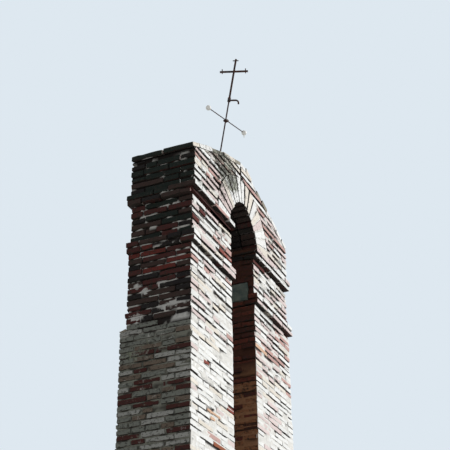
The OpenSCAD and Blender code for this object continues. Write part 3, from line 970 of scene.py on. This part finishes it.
def sill():
    lo, hi = SILL_LO, SILL_HI
    bricks = []
    width = (hi[0] - lo[0]) / SILL_BRICKS
    rows = np.linspace(lo[1], hi[1], SILL_ROWS + 1)
    for column, row in itertools.product(range(SILL_BRICKS), range(SILL_ROWS)):
        x = (lo[0] + width * (column + 1) - JOINT / 2, lo[0] + width * column + JOINT / 2)
        y = between_joints(rows, row)
        lift = luck.normal(0, SILL_SPREAD)

        def place(a, b, c):
            top = hi[2] - SILL_FALL * abs(y[a]) / hi[1] + lift
            return x[b], y[a], top if c else lo[2]

        add_brick(bricks, place, TILE_WEAR)
    brick_piece("sill", bricks)

    def bed_map(share):
        points = box_map(lo, hi)(share)
        points[:, 2] -= share[:, 2] * SILL_FALL * np.abs(points[:, 1]) / hi[1]
        return points

    core_piece("sill", bed_map, cells(lo, hi, 2), even_recess)


def setoff(node):
    lo, hi = corners_of(node)

    def fall_map(share):
        points = box_map(lo, hi)(share)
        height = SETOFF_EDGE + (hi[2] - lo[2] - SETOFF_EDGE) * (1 - share[:, 1])
        points[:, 2] = lo[2] + share[:, 2] * height
        return points

    counts = (round((hi[0] - lo[0]) / 0.02), 4, 2)
    core_piece(node, fall_map, counts, lambda points, *_: 0.008 * (fractal(points, 0.06, 3.0) - 0.5),
               lambda points, *_: np.broadcast_to(GREY_MORTAR, points.shape))


def plinth_top_course():
    """Bricks that slope from the wall to the edge of the plinth, mitred at the corners."""
    node = "plinth_top_course"
    lo, hi = corners_of(node)
    reach = BASE_LO[1] - lo[1]
    bricks = []
    for start, along, into, length in block_sides(lo[0], hi[0], lo[1], hi[1]):
        for s0, s1 in split(length):
            mitre = (reach * (s0 < TINY), reach * (s1 > length - TINY))
            drop = luck.normal(0, PLINTH_SPREAD)

            def place(a, b, c):
                s = (s0 + mitre[0] * b, s1 - mitre[1] * b)[a]
                top = (lo[2] + PLINTH_NOSE, hi[2])[b] + drop
                return start + along * s + into * reach * b + (0, 0, top if c else lo[2] + JOINT)

            add_brick(bricks, place, TILE_WEAR)
    brick_piece(node, bricks)

    def bed_map(share):
        spread = (1 - share[:, 2:]) * reach
        near, far = BASE_LO[:2], BASE_HI[:2]
        flat = near - spread + share[:, :2] * (far - near + 2 * spread)
        return np.concatenate([flat, lo[2] + share[:, 2:] * (hi[2] - lo[2])], 1)

    core_piece(node, bed_map, cells(lo, hi, 2))


# Arch

def arch_point(radius, y, angle, sideways=0.0):
    """A point of the ring, at an angle from the right springing, moved sideways along the ring."""
    x = OPENING_X + radius * np.cos(angle) - sideways * np.sin(angle)
    z = SPRING_Z + radius * np.sin(angle) + sideways * np.cos(angle)
    return np.stack(np.broadcast_arrays(x, y, z), -1)


def arch_angle(points):
    return np.arctan2(points[:, 2] - SPRING_Z, points[:, 0] - OPENING_X)


def ring_wear(angle):
    """How far the inner ends of the ring's bricks are worn back: the crown is higher than a half circle."""
    return 0.025 * np.maximum(np.sin(angle), 0.0) ** 8 - 0.015 * np.sin(2 * angle) ** 2


def ring_fill(points):
    """How full the joints at the front of the ring are, 0 to 1: fuller on the right."""
    at_front = points[:, 1] < FRONT_Y + 0.03
    ragged = 0.8 * (fractal(points, 0.10, 5.0) - 0.5)
    return at_front * (1 - ramp(arch_angle(points) + ragged, 0.9, 1.3))


def arch_bricks(first, end):
    """Wedge bricks of the ring by their numbers, from the right springing. The last row shows at the back."""
    bricks = []
    step = math.pi / ARCH_BRICKS
    inner = ARCH_R * math.sin(step / 2) - ARCH_JOINT / 2
    outer = RING_R * math.sin(step / 2) - ARCH_JOINT_OUT / 2
    edges = FRONT_Y + (BACK_Y - FRONT_Y) / ARCH_ROWS * np.arange(ARCH_ROWS + 1)
    for number, row in itertools.product(range(first, end), range(ARCH_ROWS)):
        angle = step * (number + 0.5) + luck.normal(0, ARCH_TURN)
        y = between_joints(edges, row)
        y = y[0] + luck.normal(0, ARCH_FACE) * (row == 0), y[1] + luck.normal(0, ARCH_FACE)
        radius = (ARCH_R + float(ring_wear(angle)) + luck.normal(0, ARCH_ENDS[0]),
                  RING_R + luck.normal(0, ARCH_ENDS[1]))
        half = (inner + luck.normal(0, ARCH_HALVES[0]), outer + luck.normal(0, ARCH_HALVES[1]))
        flip = -1 if row == ARCH_ROWS - 1 else 1

        def place(a, b, c):
            return arch_point(radius[a], y[::flip][b], angle, half[a] * (2 * c - 1) * flip)

        joint_sides = {FACE + 1: 0} if row in (0, ARCH_ROWS - 1) else {FACE: 0, FACE + 1: 0}
        add_brick(bricks, place, random_from(*ARCH_WEAR), inner=joint_sides)
    return bricks


def arch():
    group = (ARCH_BRICKS - 1) // 4
    bounds = (0, group, 2 * group, 2 * group + 1, 3 * group + 1, ARCH_BRICKS)
    parts = ("right_foot", "right_haunch", "crown", "left_haunch", "left_foot")
    for part, first, end in zip(parts, bounds, bounds[1:]):
        brick_piece("arch_" + part, arch_bricks(first, end))

    def ring_map(share):
        radius = ARCH_R + share[:, 0] * (RING_R - ARCH_R)
        return arch_point(radius, through(share), share[:, 2] * math.pi)

    def ring_recess(points, outward, _):
        angle = arch_angle(points)
        inward = -(outward[:, 0] * np.cos(angle) + outward[:, 2] * np.sin(angle))
        depth = 0.015 + 0.010 * (noise(points, 0.04, 3.0) - 0.5) - 0.011 * ring_fill(points)
        depth = np.where(inward > FACING, depth + np.maximum(ring_wear(angle), 0.0) + 0.004, depth)
        at_foot = np.abs(outward[:, 1]) + np.abs(inward) < 0.5
        return np.where(inward < -FACING, 0.003, np.where(at_foot, 0.0, depth))

    def ring_tint(points, *_):
        share = ring_fill(points)[:, None]
        # Unfilled joints of the ring: dirt and painted shade of the recess
        return PALE_MORTAR * share + DARK_JOINT * (1 - share)

    core_piece("arch_joints", ring_map, (10, 20, 60), ring_recess, ring_tint, "arch")


# Shoulders of the gable

def slope_x(z, sign):
    """Half the width of the wall under the coping, at a height. The left slope bends."""
    bend = [(RIDGE_X + BOW_RUN, RIDGE_Z - BOW_RUN * math.tan(SLOPE) + BOW)] if sign < 0 else []
    widths, heights = zip((HALF_W, EAVE_Z - COPING_DROP), *bend, (RIDGE_X, RIDGE_Z))
    return np.interp(z, heights, widths)


def ring_x(z, sign):
    """Where the ring, and the crack above it, end a shoulder on its inner side."""
    rise = z - SPRING_Z
    beside = OPENING_X + sign * np.sqrt(np.maximum(RING_R**2 - rise**2, 0.0))
    return np.where(rise < RING_R, beside, CRACK_X + sign * CRACK_W / 2)


def slanted_run(bricks, side, low, high, z):
    """Bricks along one face between two ends that may slant, each given at the bottom and at the top."""
    a, b = max(low), min(high)
    if b - a < SHORT / 2:
        if np.mean(high) - np.mean(low) > SHORT / 3:
            upright_brick(bricks, side, (low, high), z)
        return
    pieces = split(b - a)
    for number, (s0, s1) in enumerate(pieces):
        ends = number == 0, number == len(pieces) - 1
        s = (low if ends[0] else a + s0, high if ends[1] else a + s1)
        hollow = random_from(*HOLLOW) if luck.random() < HOLLOW_SHARE else 0.0
        upright_brick(bricks, side, s, z, wear=random_from(*GABLE_WEAR), hollow=hollow, ends=ends)


def shoulder(which, sign):
    node = which + "_shoulder"
    bricks = []
    front, right, back, left = block_sides(-HALF_W, HALF_W, FRONT_Y, BACK_Y)
    courses = math.ceil((RIDGE_Z - SPRING_Z) / GABLE_COURSE)

    def stretch(z, corner=0.0, joint=0.0):
        """Where it begins and ends at a height, less the room for a corner brick and for the ring's joint."""
        inner, outer = ring_x(z, sign) + sign * joint, sign * (slope_x(z, sign) - corner)
        return (inner, outer) if sign > 0 else (outer, inner)

    for level in range(courses):
        low_z = SPRING_Z + level * GABLE_COURSE
        height = min(GABLE_COURSE, RIDGE_Z - low_z)
        z = bed(low_z, height)
        upright_end = slope_x(low_z + GABLE_COURSE, sign) > HALF_W - TINY
        end_first = upright_end and level % 2 == 1
        low, high = stretch(np.array(z), (SHORT + JOINT) * end_first, JOINT * 0.7)
        slanted_run(bricks, front, low + HALF_W, high + HALF_W, z)
        slanted_run(bricks, back, HALF_W - high, HALF_W - low, z)
        if upright_end:
            side = right if sign > 0 else left
            inset = 0 if end_first else SHORT + JOINT
            z = bed(low_z, height, SIDE_GROWTH)
            slanted_run(bricks, side, [inset] * 2, [side[3] - inset] * 2, z)
    brick_piece(node, bricks)

    def wall_map(share):
        z = np.minimum(SPRING_Z + share[:, 2] * courses * GABLE_COURSE, RIDGE_Z)
        low, high = stretch(z)
        return np.stack([low + share[:, 0] * (high - low), through(share), z], 1)

    core_piece(node, wall_map, (30, 24, 2 * courses))


# Coping and ridge

def coping_point(sign, d, y, n, vertical=0.0):
    """A point d down the slope from the ridge, n above the bed. vertical leans an end back to plumb."""
    d = d - n * math.tan(SLOPE) * vertical
    run = d * math.cos(SLOPE) + n * math.sin(SLOPE)
    width = HALF_W - RIDGE_X
    lift = BOW * np.minimum(run / BOW_RUN, (width - run) / (width - BOW_RUN)) if sign < 0 else 0.0
    z = RIDGE_Z - d * math.sin(SLOPE) + n * math.cos(SLOPE) + lift
    return np.stack(np.broadcast_arrays(sign * (RIDGE_X + run), y, z), -1)


def coping(node, sign, x0, x1, rise):
    """Rows of bricks laid across the wall on one slope, two in each row."""
    d0, d1 = ((x - RIDGE_X) / math.cos(SLOPE) for x in (x0, x1))
    rows = round((d1 - d0) / COPING_ROW)
    edges = np.linspace(d0, d1, rows + 1)
    y_edges = (FRONT_Y, (FRONT_Y + BACK_Y) / 2, BACK_Y)
    bricks = []
    for row, half in itertools.product(range(rows), (0, 1)):
        d = between_joints(edges, row)[::-1]
        plumb = (row == rows - 1, row == 0)
        y = list(between_joints(y_edges, half))
        y[half] += luck.normal(0, END_SPREAD)
        lift = luck.normal(0, COPING_SPREAD, 2)

        def place(a, b, c):
            n = rise + (COPING_T + lift[a] if c else 0.004)
            return coping_point(sign, d[b], y[a] if sign > 0 else y[1 - a], n, plumb[b])

        add_brick(bricks, place, random_from(*COPING_WEAR))
    brick_piece(node, bricks)

    def bed_map(share):
        along = share[:, 0] if sign > 0 else 1 - share[:, 0]
        n = share[:, 2] * (rise + COPING_T - 0.010)
        return coping_point(sign, d0 + along * (d1 - d0), through(share), n, 1.0)

    def side_recess(points, facing, _):
        return np.where(np.abs(facing[:, 2]) > FACING, 0.0, even_recess(points))

    counts = (max(4, round((d1 - d0) / MORTAR_STEP)), 20, 2)
    core_piece(node, bed_map, counts, side_recess)


def ridge():
    lo, hi = RIDGE_LO, RIDGE_HI
    bricks = []
    for half in (0, 1):
        y = between_joints(np.linspace(lo[1], hi[1], 3), half)
        x = (hi[0] * RIDGE_SHARE, lo[0] * RIDGE_SHARE)
        add_brick(bricks, lambda a, b, c: (x[b], y[a], (lo[2], hi[2])[c]), RIDGE_WEAR)
    brick_piece("ridge_cap", bricks)
    core_piece("ridge_cap", box_map(lo, hi), (5, 20, 2), even_recess)


plinth_top_course()
sill()
for which, sign in (("left", -1), ("right", 1)):
    rough_block(f"{which}_bearing_stone")
    setoff(f"{which}_setoff")
    shoulder(which, sign)
arch()
coping("left_coping", -1, RIDGE_X, COPING_END, 0.0)
coping("right_coping_upper", 1, RIDGE_X, COPING_SPLIT, 0.0)
coping("right_coping_lower", 1, COPING_SPLIT, COPING_END, COPING_RISE * math.cos(SLOPE))
ridge()


# Iron cross

def dress(surface, *nodes):
    for node in nodes:
        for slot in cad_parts[node].material_slots:
            slot.material = surface


dress(iron_surface(), "mast_rod", "lower_bar", "lower_bar_clamp", "arm_collar", "bent_arm", "cross_upright",
      "cross_bar", "top_crosslet", "left_crosslet", "right_crosslet")
dress(ball_surface(), "left_ball", "right_ball", "ball_drop")
dress(mortar_surface(layered=False), "mast_foot")


# Floor, light and camera

bpy.ops.mesh.primitive_plane_add(size=160)
floor = bpy.context.object
floor.name = "floor"
floor.data.materials.append(Surface("pale_floor", specular=0.2).done((*FLOOR, 1.0), 0.9))

SUN_FROM = Vector((0.62, -0.62, 0.55))
SUN_STRENGTH = 2.75
SUN_SPREAD = math.radians(9)
WORLD_LIGHT = 0.42


def place_looking(name, data, rotation):
    thing = bpy.data.objects.new(name, data)
    thing.rotation_mode = "QUATERNION"
    thing.rotation_quaternion = rotation
    bpy.context.scene.collection.objects.link(thing)
    return thing


sun_data = bpy.data.lights.new("sun", "SUN")
sun_data.energy = SUN_STRENGTH
sun_data.angle = SUN_SPREAD
place_looking("sun", sun_data, SUN_FROM.to_track_quat("Z", "Y"))


# Even white light, and a pale background where a ray sees the world itself
world = bpy.data.worlds.new("pale_world")
nodes = Nodes(world)
light = nodes.tree.nodes["Background"]
light.inputs["Color"].default_value = (1.0, 1.0, 1.0, 1.0)
light.inputs["Strength"].default_value = WORLD_LIGHT
seen = nodes.add("Background", {"Color": (*BACKGROUND, 1.0)})
path = nodes.tree.nodes.new("ShaderNodeLightPath")
rays = [path.outputs[f"Is {kind} Ray"] for kind in ("Camera", "Glossy", "Transmission")]
either = functools.reduce(functools.partial(nodes.math, "MAXIMUM"), rays)
mixed = nodes.add("MixShader", {0: either, 1: light.outputs[0], 2: seen})
nodes.put(nodes.tree.nodes["World Output"].inputs["Surface"], mixed)
bpy.context.scene.world = world
bpy.context.scene.view_settings.view_transform = "Standard"

CAMERA_PLACE = (-8.722, -4.002, 1.614)
CAMERA_YAW = math.radians(23.84)
CAMERA_PITCH = math.radians(29.438)
CAMERA_ROLL = math.radians(-0.771)
CAMERA_LENS = 89.29

camera_data = bpy.data.cameras.new("camera")
camera_data.lens = CAMERA_LENS
ahead = Vector((
    math.cos(CAMERA_PITCH) * math.cos(CAMERA_YAW),
    math.cos(CAMERA_PITCH) * math.sin(CAMERA_YAW),
    math.sin(CAMERA_PITCH),
))
roll = Quaternion((0, 0, 1), CAMERA_ROLL)
camera = place_looking("camera", camera_data, ahead.to_track_quat("-Z", "Y") @ roll)
camera.location = CAMERA_PLACE
bpy.context.scene.camera = camera
